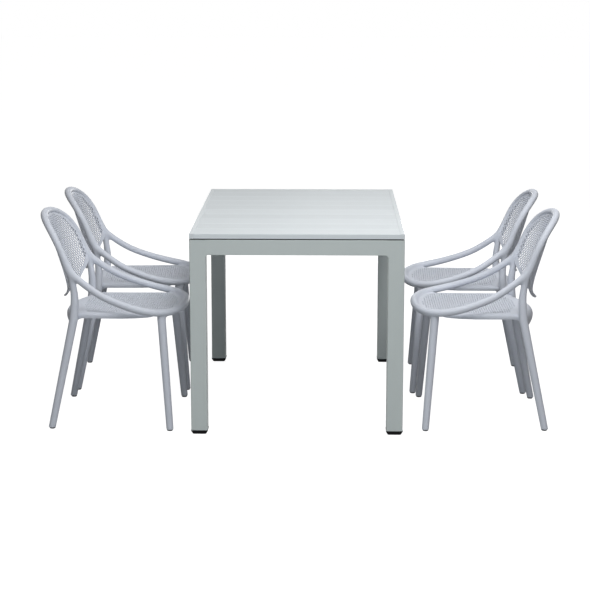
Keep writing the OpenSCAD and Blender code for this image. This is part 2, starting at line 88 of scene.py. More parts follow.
mix = w.nodes.new("ShaderNodeMixShader")
w.links.new(seen_rays(w), mix.inputs["Fac"])
w.links.new(glow.outputs[0], mix.inputs[1])
w.links.new(seen.outputs[0], mix.inputs[2])
out = w.nodes.new("ShaderNodeOutputWorld")
w.links.new(mix.outputs[0], out.inputs["Surface"])

floor_mesh = bpy.data.meshes.new("floor")
floor_mesh.from_pydata([(-30, -30, 0), (30, -30, 0), (30, 30, 0), (-30, 30, 0)], [], [(0, 1, 2, 3)])
floor = bpy.data.objects.new("floor", floor_mesh)
bpy.context.scene.collection.objects.link(floor)
floor_paint = bpy.data.materials.new("floor")
floor_paint.use_nodes = True
f = floor_paint.node_tree
f.nodes.clear()
matt = f.nodes.new("ShaderNodeBsdfDiffuse")
matt.inputs["Color"].default_value = (0.32, 0.32, 0.32, 1)
lift = f.nodes.new("ShaderNodeEmission")
lift.inputs["Color"].default_value = (1, 1, 1, 1)
lift.inputs["Strength"].default_value = 0.97
both = f.nodes.new("ShaderNodeAddShader")
f.links.new(matt.outputs[0], both.inputs[0])
f.links.new(lift.outputs[0], both.inputs[1])
mix = f.nodes.new("ShaderNodeMixShader")
f.links.new(seen_rays(f), mix.inputs["Fac"])
f.links.new(matt.outputs[0], mix.inputs[1])
f.links.new(both.outputs[0], mix.inputs[2])
out = f.nodes.new("ShaderNodeOutputMaterial")
f.links.new(mix.outputs[0], out.inputs["Surface"])
floor_mesh.materials.append(floor_paint)


def soft_lamp(name, place, aim, width, power, colour=(1, 1, 1)):
    """A square area lamp at place, turned so that its face looks at aim: tilted by the angle
    between straight down and the aim, then turned by the aim's heading."""
    data = bpy.data.lights.new(name, "AREA")
    data.size = width
    data.energy = power
    data.color = colour
    lamp = bpy.data.objects.new(name, data)
    lamp.location = place
    towards = np.subtract(aim, place)
    flat = math.hypot(towards[0], towards[1])
    heading = math.atan2(towards[1], towards[0])
    lamp.rotation_euler = (math.atan2(flat, -towards[2]), 0, heading - math.pi / 2)
    bpy.context.scene.collection.objects.link(lamp)
    return lamp


soft_lamp("lamp_front", (0.4, -3.6, 4.6), (0, 0, 0.5), 2.0, 117)
soft_lamp("lamp_above", (0.6, -0.5, 3.0), (0, 0, 0.5), 1.6, 37)
soft_lamp("lamp_low", (0, -3.9, 0.85), (0, 0, 0.4), 1.2, 26, (0.90, 0.95, 1))
soft_lamp("lamp_rear", (0.3, 4.6, 0.42), (0, 0, 0.42), 0.8, 55)

# ---------------------------------------------------------------- table legs and aprons
# Square aluminium tube legs and box aprons, welded flush and powder coated in a satin
# pale green-grey. The coat has a very fine orange-peel grain and a faint mottle.


def coat_grain():
    """Shared effect for sprayed and moulded skins: two sizes of noise in object space give a
    faint light-and-dark mottle and a fine height for a bump."""
    g = bpy.data.node_groups.new("coat_grain", "ShaderNodeTree")
    for name, kind, value in (("Colour", "NodeSocketColor", (0.5, 0.5, 0.5, 1)),
                              ("Mottle", "NodeSocketFloat", 0.04),
                              ("Patch Size", "NodeSocketFloat", 12.0),
                              ("Grain Size", "NodeSocketFloat", 900.0)):
        s = g.interface.new_socket(name, in_out="INPUT", socket_type=kind)
        s.default_value = value
    g.interface.new_socket("Colour", in_out="OUTPUT", socket_type="NodeSocketColor")
    g.interface.new_socket("Height", in_out="OUTPUT", socket_type="NodeSocketFloat")
    g.interface.new_socket("Patches", in_out="OUTPUT", socket_type="NodeSocketFloat")
    given = g.nodes.new("NodeGroupInput")
    where = g.nodes.new("ShaderNodeTexCoord")
    patches = g.nodes.new("ShaderNodeTexNoise")
    patches.inputs["Detail"].default_value = 3
    grain = g.nodes.new("ShaderNodeTexNoise")
    grain.inputs["Detail"].default_value = 1
    g.links.new(where.outputs["Object"], patches.inputs["Vector"])
    g.links.new(where.outputs["Object"], grain.inputs["Vector"])
    g.links.new(given.outputs["Patch Size"], patches.inputs["Scale"])
    g.links.new(given.outputs["Grain Size"], grain.inputs["Scale"])
    swing = g.nodes.new("ShaderNodeMath")
    swing.operation = "MULTIPLY_ADD"
    g.links.new(patches.outputs["Fac"], swing.inputs[0])
    g.links.new(given.outputs["Mottle"], swing.inputs[1])
    half = g.nodes.new("ShaderNodeMath")
    half.operation = "MULTIPLY_ADD"
    g.links.new(given.outputs["Mottle"], half.inputs[0])
    half.inputs[1].default_value = -0.5
    half.inputs[2].default_value = 1.0
    g.links.new(half.outputs[0], swing.inputs[2])
    tint = g.nodes.new("ShaderNodeVectorMath")
    tint.operation = "SCALE"
    g.links.new(given.outputs["Colour"], tint.inputs[0])
    g.links.new(swing.outputs[0], tint.inputs["Scale"])
    result = g.nodes.new("NodeGroupOutput")
    g.links.new(tint.outputs[0], result.inputs["Colour"])
    g.links.new(grain.outputs["Fac"], result.inputs["Height"])
    g.links.new(patches.outputs["Fac"], result.inputs["Patches"])
    return g


grain_group = coat_grain()


def skin(name, colour, rough, mottle=0.04, patch=12.0, grain=900.0, bump=0.08, metal=0.0,
         specular=0.5):
    """A Principled material whose colour, roughness and bump come from the shared grain.
    Roughness is rough plus 0.08 times the patches, less half of that swing."""
    m = bpy.data.materials.new(name)
    m.use_nodes = True
    t = m.node_tree
    b = t.nodes["Principled BSDF"]
    b.inputs["Metallic"].default_value = metal
    b.inputs["Specular IOR Level"].default_value = specular
    g = t.nodes.new("ShaderNodeGroup")
    g.node_tree = grain_group
    g.inputs["Colour"].default_value = (*colour, 1)
    g.inputs["Mottle"].default_value = mottle
    g.inputs["Patch Size"].default_value = patch
    g.inputs["Grain Size"].default_value = grain
    t.links.new(g.outputs["Colour"], b.inputs["Base Color"])
    r = t.nodes.new("ShaderNodeMath")
    r.operation = "MULTIPLY_ADD"
    t.links.new(g.outputs["Patches"], r.inputs[0])
    r.inputs[1].default_value = 0.08
    r.inputs[2].default_value = rough - 0.04
    t.links.new(r.outputs[0], b.inputs["Roughness"])
    n = t.nodes.new("ShaderNodeBump")
    n.inputs["Strength"].default_value = bump
    n.inputs["Distance"].default_value = 0.0004
    t.links.new(g.outputs["Height"], n.inputs["Height"])
    t.links.new(n.outputs["Normal"], b.inputs["Normal"])
    return m


def dress(names, material):
    """Gives one material to each named solid."""
    for name in names:
        nodes[name].data.materials.clear()
        nodes[name].data.materials.append(material)


frame_paint = skin("frame_paint", (0.54, 0.59, 0.58), 0.50, specular=0.15)
corners = ["front_left", "front_right", "rear_left", "rear_right"]
dress(["leg_" + c for c in corners], frame_paint)
dress(["apron_front", "apron_rear", "apron_left", "apron_right"], frame_paint)


def piece(name, points, faces, material, body, smooth_angle=None):
    """A mesh object at the origin with smooth shading, riding on a body. Edges that turn by
    more than smooth_angle degrees stay sharp."""
    mesh = bpy.data.meshes.new(name)
    mesh.from_pydata(points, [], faces.tolist() if isinstance(faces, np.ndarray) else faces)
    mesh.polygons.foreach_set("use_smooth", np.ones(len(mesh.polygons), bool))
    if smooth_angle:
        mesh.set_sharp_from_angle(angle=math.radians(smooth_angle))
    mesh.materials.append(material)
    obj = bpy.data.objects.new(name, mesh)
    bpy.context.scene.collection.objects.link(obj)
    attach(obj, body)
    return obj


# Welds ground flush fill the groove between each leg's round corner and its aprons, a hair
# below their faces, and leave a small round inner corner below the apron. All eight come from
# one outline, drawn on the rear right leg: u runs from the leg along the apron.
hair = 0.0001
weld_half = 0.006
weld_depth = 0.0214
inner_radius = 0.008
leg_inner, leg_outer = np.array(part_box("leg_rear_right"))
apron_low, apron_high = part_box("apron_rear")[0][2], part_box("apron_rear")[1][2]
turn = np.linspace(0, math.pi / 2, 7)
inner_corner = inner_radius * np.column_stack([1 - np.sin(turn), np.cos(turn) - 1]) + (0, apron_low)
u, z = np.vstack([
    [(-weld_half, apron_high), (weld_half, apron_high), (weld_half, apron_low)],
    inner_corner,
    [(-weld_half, apron_low - inner_radius)]]).T
n = len(u)
k = np.arange(n)
weld_points, weld_faces = [], []
for side in ((-1, -1), (-1, 1), (1, -1), (1, 1)):
    for across in (0, 1):
        ends = []
        for sink in (hair, hair + weld_depth):
            end = np.empty((n, 3))
            end[:, across] = side[across] * (leg_inner[across] - u)
            end[:, 1 - across] = side[1 - across] * (leg_outer[1 - across] - sink)
            end[:, 2] = z
            ends.append(end)
        if (side[0] * side[1] > 0) != (across == 0):
            ends.reverse()
        first = 2 * n * len(weld_points)
        weld_points.append(np.vstack(ends))
        weld_faces += [(first + k[::-1]).tolist(), (first + n + k).tolist()]
        around = np.column_stack([k, (k + 1) % n, n + (k + 1) % n, n + k])
        weld_faces += (first + around).tolist()
welds = piece("frame_welds", np.vstack(weld_points), weld_faces, frame_paint, "table", 35)

# ---------------------------------------------------------------- feet
# Black moulded plastic caps pressed into the leg tubes, tapering to the floor, and plugs that
# close the tubes' upper ends.
black_plastic = skin("black_plastic", (0.010, 0.010, 0.011), 0.60, mottle=0.2, patch=60,
                     grain=1500, bump=0.15, specular=0.05)
dress(["foot_cap_" + c for c in corners] + ["leg_plugs"], black_plastic)

# ---------------------------------------------------------------- corner brackets, bolts and screws
# Corner brackets of bent steel strip in a darker coat, held by a bolt through each into its leg
# and by screws into the aprons. Bolts and screws are bright zinc.
bracket_paint = skin("bracket_paint", (0.34, 0.37, 0.37), 0.5, mottle=0.08, grain=700)
dress(["bracket_" + c for c in corners], bracket_paint)
zinc = skin("zinc", (0.62, 0.62, 0.64), 0.34, mottle=0.18, patch=160, grain=1200, metal=1.0)
dress(["corner_bolts", "bracket_screws", "slat_screws"], zinc)

# ---------------------------------------------------------------- rails and pads under the top
# Two box rails carry the slats, and black rubber pads on the aprons hold the top off the frame.
# A thin strip of the pads' black rubber, set back in that recess all the way round, is painted
# shade: it makes the recess read as a dark line.
dress(["rail_left", "rail_right"], frame_paint)
rubber_and_painted_shade = skin("rubber_and_painted_shade", (0.018, 0.018, 0.018), 0.75, mottle=0.25, patch=80, grain=1200, bump=0.2)
dress(["spacer_pads"], rubber_and_painted_shade)
# Painted shade: the strip below is a dark sheet that stands in for the recess's shadow.
set_back = 0.004
shade_strip_t = 0.003
lap = 0.0005
shade_strip_z = (apron_high - hair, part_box("slat_01")[0][2] + hair)
half_x, half_y = leg_outer[0] - set_back, leg_outer[1] - set_back
box_corners = np.array([(-1, -1), (1, -1), (1, 1), (-1, 1)])
box_faces = np.array([(3, 2, 1, 0), (4, 5, 6, 7),
                      (0, 1, 5, 4), (1, 2, 6, 5), (2, 3, 7, 6), (3, 0, 4, 7)])
shade_strip_points, shade_strip_faces = [], []
for side in (-1, 1):
    for middle, half_size in (
            ((0, side * (half_y - shade_strip_t / 2)), (half_x, shade_strip_t / 2)),
            ((side * (half_x - shade_strip_t / 2), 0), (shade_strip_t / 2, half_y - shade_strip_t + lap))):
        flat_box = middle + box_corners * half_size
        low, high = (np.column_stack([flat_box, np.full(4, level)]) for level in shade_strip_z)
        shade_strip_faces.append(box_faces + 8 * len(shade_strip_points))
        shade_strip_points.append(np.vstack([low, high]))
strip = piece("recess_painted_shade_strip", np.vstack(shade_strip_points), np.vstack(shade_strip_faces), rubber_and_painted_shade, "table", 35)

# ---------------------------------------------------------------- table top
# Ten hollow aluminium slats across the table, with fine lengthwise ribs rolled into their
# faces, between two smooth edge rails. Satin powder coat, paler than the frame.
slat_pitch = 0.12016
rib_pitch = 0.006


def ribbed_paint(name, colour, rough):
    """The coat with ribs: a sine of the distance across the slat gives a low height for the bump
    and a faint line of painted shade in each groove. Each slat is a little lighter or darker than
    the next, by a random number of its place, and its rounded long edges carry a painted highlight."""
    m = skin(name, colour, rough, mottle=0.05, patch=6.0, specular=0.15)
    t = m.node_tree
    b = t.nodes["Principled BSDF"]
    g = next(n for n in t.nodes if n.type == "GROUP")
    where = t.nodes.new("ShaderNodeTexCoord")
    split = t.nodes.new("ShaderNodeSeparateXYZ")
    t.links.new(where.outputs["Object"], split.inputs[0])
    turns = t.nodes.new("ShaderNodeMath")
    turns.operation = "MULTIPLY"
    turns.inputs[1].default_value = 2 * math.pi / rib_pitch
    t.links.new(split.outputs["Y"], turns.inputs[0])
    wave = t.nodes.new("ShaderNodeMath")
    wave.operation = "SINE"
    t.links.new(turns.outputs[0], wave.inputs[0])
    # Painted shade: the colour is darker in each rib groove.
    painted_groove_shade = t.nodes.new("ShaderNodeMapRange")
    painted_groove_shade.inputs["From Min"].default_value = -1
    painted_groove_shade.inputs["From Max"].default_value = 0
    painted_groove_shade.inputs["To Min"].default_value = 0.94
    painted_groove_shade.inputs["To Max"].default_value = 1.0
    t.links.new(wave.outputs[0], painted_groove_shade.inputs["Value"])
    slat = t.nodes.new("ShaderNodeMath")
    slat.operation = "MULTIPLY_ADD"
    slat.inputs[1].default_value = 1 / slat_pitch
    slat.inputs[2].default_value = 20.0
    t.links.new(split.outputs["Y"], slat.inputs[0])
    number = t.nodes.new("ShaderNodeMath")
    number.operation = "FLOOR"
    t.links.new(slat.outputs[0], number.inputs[0])
    chance = t.nodes.new("ShaderNodeTexWhiteNoise")
    chance.noise_dimensions = "1D"
    t.links.new(number.outputs[0], chance.inputs["W"])
    # The slat's random tone is real; the groove shade added to it is painted shade.
    slat_tone_and_groove_shade = t.nodes.new("ShaderNodeMath")
    slat_tone_and_groove_shade.operation = "MULTIPLY_ADD"
    slat_tone_and_groove_shade.inputs[1].default_value = 0.05
    t.links.new(chance.outputs["Value"], slat_tone_and_groove_shade.inputs[0])
    t.links.new(painted_groove_shade.outputs["Result"], slat_tone_and_groove_shade.inputs[2])
    # Painted highlight: the colour is lighter within a tenth of the slat's width from its long
    # edges.
    to_slat_edge = t.nodes.new("ShaderNodeMath")
    to_slat_edge.operation = "PINGPONG"
    to_slat_edge.inputs[1].default_value = 0.5
    t.links.new(slat.outputs[0], to_slat_edge.inputs[0])
    painted_edge_highlight = t.nodes.new("ShaderNodeMapRange")
    painted_edge_highlight.inputs["From Min"].default_value = 0.0
    painted_edge_highlight.inputs["From Max"].default_value = 0.10
    painted_edge_highlight.inputs["To Min"].default_value = 0.07
    painted_edge_highlight.inputs["To Max"].default_value = 0.0
    t.links.new(to_slat_edge.outputs[0], painted_edge_highlight.inputs["Value"])
    tone_and_painted_light = t.nodes.new("ShaderNodeMath")
    tone_and_painted_light.operation = "ADD"
    t.links.new(slat_tone_and_groove_shade.outputs[0], tone_and_painted_light.inputs[0])
    t.links.new(painted_edge_highlight.outputs["Result"], tone_and_painted_light.inputs[1])
    tint = t.nodes.new("ShaderNodeVectorMath")
    tint.operation = "SCALE"
    t.links.new(g.outputs["Colour"], tint.inputs[0])
    t.links.new(tone_and_painted_light.outputs[0], tint.inputs["Scale"])
    t.links.new(tint.outputs[0], b.inputs["Base Color"])
    first = next(n for n in t.nodes if n.type == "BUMP")
    ribs = t.nodes.new("ShaderNodeBump")
    ribs.inputs["Strength"].default_value = 0.35
    ribs.inputs["Distance"].default_value = 0.0004
    t.links.new(wave.outputs[0], ribs.inputs["Height"])
    t.links.new(first.outputs["Normal"], ribs.inputs["Normal"])
    t.links.new(ribs.outputs["Normal"], b.inputs["Normal"])
    return m


slat_paint = ribbed_paint("slat_paint", (0.62, 0.66, 0.68), 0.50)
dress([f"slat_{i:02d}" for i in range(1, 11)], slat_paint)
edge_paint = skin("edge_paint", (0.66, 0.70, 0.72), 0.50, specular=0.15)
dress(["edge_rail_left", "edge_rail_right", "edge_caps"], edge_paint)

# ---------------------------------------------------------------- chair hoop and legs
# One resin moulding: a single tube loops round the back, down both arms and along the front
# of the seat, and four legs run into it with soft fillets. Satin, very pale lilac grey.
# A place is x, y and heading in degrees. Each chair's shape is drawn facing +X with its middle
# at the origin.
chair_places = [(-0.689, -0.300, -1.5), (0.701, -0.290, 179.8), (-0.690, 0.292, 2.3),
                (0.688, 0.257, 178.1)]
back_axis = 0.114
back_profile = np.array([(-213.5, 463), (-204, 472), (-198, 488), (-196.5, 510), (-209.5, 568),
                         (-231, 640), (-252, 712), (-266, 768), (-275, 815)]) / 1000


def spline(points, steps, closed):
    """Smooth curve through points. Each point first moves out by a sixth of its second
    difference, then each run of four neighbours is blended with cubic B-spline weights."""
    p = np.asarray(points, float)
    if closed:
        g = p - (np.roll(p, 1, 0) - 2 * p + np.roll(p, -1, 0)) / 6
        g = np.vstack([g[-1:], g, g[:2]])
    else:
        g = p.copy()
        g[1:-1] -= (p[:-2] - 2 * p[1:-1] + p[2:]) / 6
        g = np.vstack([2 * p[0] - p[1], g, 2 * p[-1] - p[-2]])
    t = np.arange(steps)[:, None] / steps
    w = np.hstack([(1 - t) ** 3, 3 * t ** 3 - 6 * t ** 2 + 4,
                   -3 * t ** 3 + 3 * t ** 2 + 3 * t + 1, t ** 3]) / 6
    runs = np.stack([g[k:len(g) - 3 + k] for k in range(4)], 1)
    curve = np.einsum("sk,nkd->nsd", w, runs).reshape(-1, p.shape[1])
    return curve if closed else np.vstack([curve, p[-1:]])


back_curve = spline(back_profile, 8, False)


def on_back(y, z, forward=0.0):
    """x of the back's middle surface: its upright profile turned about an upright axis in front
    of it. Forward moves it towards that axis."""
    reach = back_axis - np.interp(z, back_curve[:, 1], back_curve[:, 0]) - forward
    return back_axis - np.sqrt(np.maximum(reach ** 2 - y ** 2, 0))


# Half of the hoop, from the middle of the back to the middle of the seat front, with its radius
# in the last column. The ring has y and z only, because it lies on the back's surface.
ring_guide = np.array([(0, 784, 13), (87, 775.5, 12.8), (153, 747, 12.6), (188, 699.5, 12.4),
                       (198, 642, 12.4), (201, 590, 12.2)]) / 1000
arm_guide = np.array([(-88, 208.5, 541, 12.8), (-28, 222.6, 502.8, 12.8), (45, 232.6, 473.8, 13),
                      (118, 237, 452, 13.6), (186, 216, 440.8, 13.8), (228, 164, 437, 14),
                      (252, 86, 437, 14), (258, 0, 437, 14)]) / 1000
ring_x = on_back(ring_guide[:, 0], ring_guide[:, 1])
half = np.vstack([np.column_stack([ring_x, ring_guide]), arm_guide])
hoop = spline(np.vstack([half, half[-2:0:-1] * (1, -1, 1, 1)]), 8, True)
rear_leg = np.vstack([[(-0.223, 0.234, 0, 0.013)], spline(np.array([
    (-136, 207, 410, 16), (-131, 203, 470, 15), (-133, 199.5, 515, 13), (-141, 199.5, 560, 11.5),
    (-152.5, 199.5, 600, 10), (-161, 198.5, 622, 7), (-168, 198, 642, 3)]) / 1000, 6, False)])
front_leg = np.array([(0.223, 0.248, 0, 0.013), (0.1912, 0.2020, 0.420, 0.0158),
                      (0.1908, 0.2025, 0.428, 0.011)])
mirror = np.array([1, -1, 1, 1])


def along_polyline(line, spacing):
    """The line's points with others between them, so that none are further apart than spacing."""
    lengths = np.linalg.norm(np.diff(line[:, :3], axis=0), axis=1)
    steps = np.maximum(1, np.ceil(lengths / spacing)).astype(int)
    where = [np.arange(count) / count + i for i, count in enumerate(steps)] + [[len(line) - 1.0]]
    where = np.concatenate(where)
    return np.column_stack([np.interp(where, np.arange(len(line)), line[:, k]) for k in range(4)])


legs = [along_polyline(line * side, 0.012) for line in (rear_leg, front_leg)
        for side in (1, mirror)]


def tube_distance(p, line, closed):
    """Distance from each point of p to the skin of a tube whose radius changes along its line.
    The nearest point of the line is found, then the two pieces of line that meet there are
    tested: the distance to the nearest place on the piece, less the radius there."""
    nearest = np.empty(len(p), int)
    for start in range(0, len(p), 8000):
        d = p[start:start + 8000, None, :] - line[None, :, :3]
        nearest[start:start + 8000] = np.argmin(np.einsum("ijk,ijk->ij", d, d), 1)
    best = np.full(len(p), 9.0)
    for shift in (-1, 0):
        a = nearest + shift
        a = a % len(line) if closed else np.clip(a, 0, len(line) - 2)
        b = (a + 1) % len(line)
        ab = line[b, :3] - line[a, :3]
        h = np.einsum("ij,ij->i", p - line[a, :3], ab) / np.einsum("ij,ij->i", ab, ab)
        h = np.clip(h, 0, 1)
        r = line[a, 3] + h * (line[b, 3] - line[a, 3])
        best = np.minimum(best, np.linalg.norm(p - line[a, :3] - h[:, None] * ab, axis=1) - r)
    return best


def soft_join(a, b, k):
    """Smaller of two distances, with a fillet of size k where they are close: k less their
    difference, squared and over 4k, is taken off the smaller."""
    h = np.maximum(k - np.abs(a - b), 0) / k
    return np.minimum(a, b) - h * h * k / 4


def moulding(p):
    """Distance to the hoop and legs joined with fillets, flat at the feet."""
    d = tube_distance(p, hoop, True)
    for i, leg in enumerate(legs):
        d = soft_join(d, tube_distance(p, leg, False), 0.016 if i < 2 else 0.012)
    return -soft_join(-d, p[:, 2] - 0.005, 0.003)


def tube(line, sides, closed):
    """Grid of points round a line: ring i lies square to the line at its point i, at that
    point's radius. Returns the points and the faces, with flat ends on an open line."""
    n = len(line)
    here = line[:, :3]
    ahead = np.roll(here, -1, 0) - np.roll(here, 1, 0) if closed else np.gradient(here, axis=0)
    ahead /= np.linalg.norm(ahead, axis=1)[:, None]
    out = np.cross(ahead, here - (-0.02, 0, 0.3))
    out /= np.linalg.norm(out, axis=1)[:, None]
    side = np.cross(out, ahead)
    a = np.arange(sides) * 2 * math.pi / sides
    ring = np.cos(a)[None, :, None] * side[:, None] + np.sin(a)[None, :, None] * out[:, None]
    points = here[:, None] + line[:, 3, None, None] * ring
    i, j = np.meshgrid(np.arange(n if closed else n - 1), np.arange(sides), indexing="ij")
    k, l = (i + 1) % n, (j + 1) % sides
    faces = np.stack([i * sides + j, i * sides + l, k * sides + l, k * sides + j], -1)
    faces = faces.reshape(-1, 4).tolist()
    if not closed:
        faces += [list(range(sides))[::-1], [(n - 1) * sides + s for s in range(sides)]]
    return points.reshape(-1, 3), faces


def moulded_skin(voxel):
    """The tubes are merged on a fine grid, then every point is walked down the slope of the
    joined distance onto the true surface, with one round of evening-out between."""
    points, faces, count = [], [], 0
    for line, closed in [(hoop, True)] + [(leg, False) for leg in legs]:
        p, f = tube(line, 16, closed)
        points.append(p)
        faces += [[v + count for v in face] for face in f]
        count += len(p)
    rough = bpy.data.meshes.new("rough")
    rough.from_pydata(np.vstack(points), [], faces)
    holder = bpy.data.objects.new("rough", rough)
    bpy.context.scene.collection.objects.link(holder)
    remesh = holder.modifiers.new("merge", "REMESH")
    remesh.mode = "VOXEL"
    remesh.voxel_size = voxel
    graph = bpy.context.evaluated_depsgraph_get()
    merged = bpy.data.meshes.new_from_object(holder.evaluated_get(graph))
    bpy.data.objects.remove(holder)
    p = np.empty(len(merged.vertices) * 3)
    merged.vertices.foreach_get("co", p)
    p = p.reshape(-1, 3)
    loops = np.empty(len(merged.loops), int)
    merged.loops.foreach_get("vertex_index", loops)
    quads = loops.reshape(-1, 4)
    edges = np.vstack([quads[:, [0, 1]], quads[:, [1, 2]], quads[:, [2, 3]], quads[:, [3, 0]]])
    degree = np.bincount(edges.ravel(), minlength=len(p))[:, None]
    corners = np.array([(1, 1, 1), (1, -1, -1), (-1, 1, -1), (-1, -1, 1)]) * 0.0002
    for turn in range(5):
        if turn in (1, 3):
            total = np.zeros_like(p)
            for k in range(3):
                total[:, k] = (np.bincount(edges[:, 0], p[edges[:, 1], k], len(p))
                               + np.bincount(edges[:, 1], p[edges[:, 0], k], len(p)))
            p = 0.4 * p + 0.6 * total / degree
        slope = sum(moulding(p + c)[:, None] * c for c in corners) / (4 * 0.0002 ** 2)
        p = p - moulding(p)[:, None] * slope / np.maximum((slope ** 2).sum(1), 0.3)[:, None]
    bpy.data.meshes.remove(merged)
    return p, quads


def stand(points, place):
    """Turns points about the upright axis by the chair's heading, then moves them to its place
    on the floor."""
    a = math.radians(place[2])
    x, y = points[:, 0], points[:, 1]
    return np.column_stack([x * math.cos(a) - y * math.sin(a) + place[0],
                            x * math.sin(a) + y * math.cos(a) + place[1], points[:, 2]])


resin = skin("chair_resin", (0.625, 0.655, 0.72), 0.55, mottle=0.05, patch=9.0, grain=1100,
             bump=0.06, specular=0.08)
frame_points, frame_faces = moulded_skin(0.003)
for n, place in enumerate(chair_places, 1):
    hoop_piece = piece(f"chair_{n}_moulded_frame", stand(frame_points, place), frame_faces, resin,
                       f"chair_{n}")
    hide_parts(f"chair_{n}_hoop", f"chair_{n}_rear_legs", f"chair_{n}_front_legs")

# ---------------------------------------------------------------- chair back
# A thin curved resin shell, moulded in one with the ring round it and nearly flush with the
# ring's front. A fine staggered grid of diamonds pierces it, inside a plain border, and a
# broad tongue curls back below.


def soft_diamond(across, along):
    """Eight corners of a diamond hole with blunted sides: four at the ends of its axes, four
    at six tenths of both half sizes."""
    full = np.array([(1, 0), (0.6, 0.6), (0, 1), (-0.6, 0.6),
                     (-1, 0), (-0.6, -0.6), (0, -1), (0.6, -0.6)])
    return full * (across, along)


def pierced_sheet(outline, centres, corner, fill):
    """Flat sheet with holes: the outline, the holes' corners and loose filling points go to a
    constrained triangulation; triangles with all corners in one hole are left out. Returns
    points, the outline's points first, and faces."""
    n, sides = len(outline), len(corner)
    holes = (centres[:, None] + corner[None]).reshape(-1, 2)
    points = np.vstack([outline, holes, fill])
    first = n + sides * np.arange(len(centres))[:, None]
    k = np.arange(sides)
    edges = np.vstack([np.column_stack([np.arange(n), (np.arange(n) + 1) % n]),
                       np.column_stack([(first + k).ravel(), (first + (k + 1) % sides).ravel()])])
    edges = [tuple(e) for e in edges.tolist()]
    made = delaunay_2d_cdt([tuple(q) for q in points], edges, [], 1, 1e-7)
    flat = np.array([tuple(q) for q in made[0]])
    faces = np.array(made[2])
    hole_of = np.full(len(points), -1)
    hole_of[n:n + len(holes)] = np.repeat(np.arange(len(centres)), sides)
    at = hole_of[faces]
    faces = faces[(at[:, 0] < 0) | (at[:, 0] != at[:, 1]) | (at[:, 1] != at[:, 2])]
    first, second, third = flat[faces.T]
    turned = np.cross(second - first, third - first) < 0
    faces[turned] = faces[turned][:, ::-1]
    return flat, faces


def edge_distance(p, outline):
    """Distance of each point to the nearest side of a closed outline, positive inside it. A
    point is inside where a ray from it crosses an odd number of sides."""
    best = np.full(len(p), 9.0)
    inside = np.zeros(len(p), bool)
    for s, e in zip(outline, np.roll(outline, -1, 0)):
        h = np.clip(((p - s) @ (e - s)) / ((e - s) @ (e - s)), 0, 1)
        best = np.minimum(best, np.linalg.norm(p - s - h[:, None] * (e - s), axis=1))
        if e[1] != s[1]:
            level = (s[1] > p[:, 1]) != (e[1] > p[:, 1])
            inside ^= level & (p[:, 0] < (e[0] - s[0]) * (p[:, 1] - s[1]) / (e[1] - s[1]) + s[0])
    return np.where(inside, best, -best)


def staggered(pitch, low, high):
    """Centres of a staggered grid: rows half a pitch apart, every second row shifted by half
    a pitch."""
    step = np.array(pitch) / 2
    first = np.round(np.array(low) / step).astype(int)
    last = np.round(np.array(high) / step).astype(int)
    i, j = np.meshgrid(*(np.arange(a, b + 1) for a, b in zip(first, last)), indexing="ij")
    keep = (i + j) % 2 == 0
    return np.column_stack([i[keep], j[keep]]) * step


# The outline is the ring's own line as far as the arm, then the tongue's edge. The sheet starts
# in the middle of the ring and moves forward as it leaves it.
tongue = np.array([(190, 572), (178, 556), (163, 543), (150, 533), (136, 522.5), (122, 511.5),
                   (107, 498.5), (89, 485), (66, 473), (34, 465.5), (0, 463)]) / 1000
back_wall = 0.0028
flush = 0.008
ring_side = hoop[:8 * 5 + 4, 1:3]


def ring_distance(p):
    """Distance of each point, or of its mirror image, to the nearest point of the ring's side."""
    return np.min(np.linalg.norm(np.abs(p)[:, None] - ring_side[None], axis=2), 1)


lower = spline(tongue, 4, False)
back_edge = np.vstack([ring_side, lower])
back_edge = np.vstack([back_edge, back_edge[-2:0:-1] * (-1, 1)])
ring_ahead = np.gradient(ring_side, axis=0)
ring_ahead /= np.linalg.norm(ring_ahead, axis=1)[:, None]
inward = np.column_stack([ring_ahead[:, 1], -ring_ahead[:, 0]])
beside_ring = np.vstack([(ring_side + inward * gap) * side for gap in (0.0085, 0.0115)
                         for side in ((1, 1), (-1, 1))])
beside_ring = beside_ring[edge_distance(beside_ring, back_edge) > 0.006]
spots = staggered((0.012, 0.016), (-0.2, 0.46), (0.2, 0.8))
depth = edge_distance(spots, back_edge)
border = np.interp(spots[:, 1], [0.48, 0.52, 0.56, 0.62, 0.76],
                   [0.010, 0.011, 0.014, 0.018, 0.019])
centres = spots[depth > border]
to_ring = ring_distance(spots)
fill = np.vstack([spots[(depth <= border) & (depth > 0.004) & (to_ring > 0.0145)], beside_ring])
flat, faces = pierced_sheet(back_edge, centres, soft_diamond(0.0040, 0.0052), fill)
set_in = np.clip(ring_distance(flat) / 0.010, 0, 1)
forward = flush * set_in ** 2 * (3 - 2 * set_in)
back_sheet = np.column_stack([on_back(flat[:, 0], flat[:, 1], forward), flat])


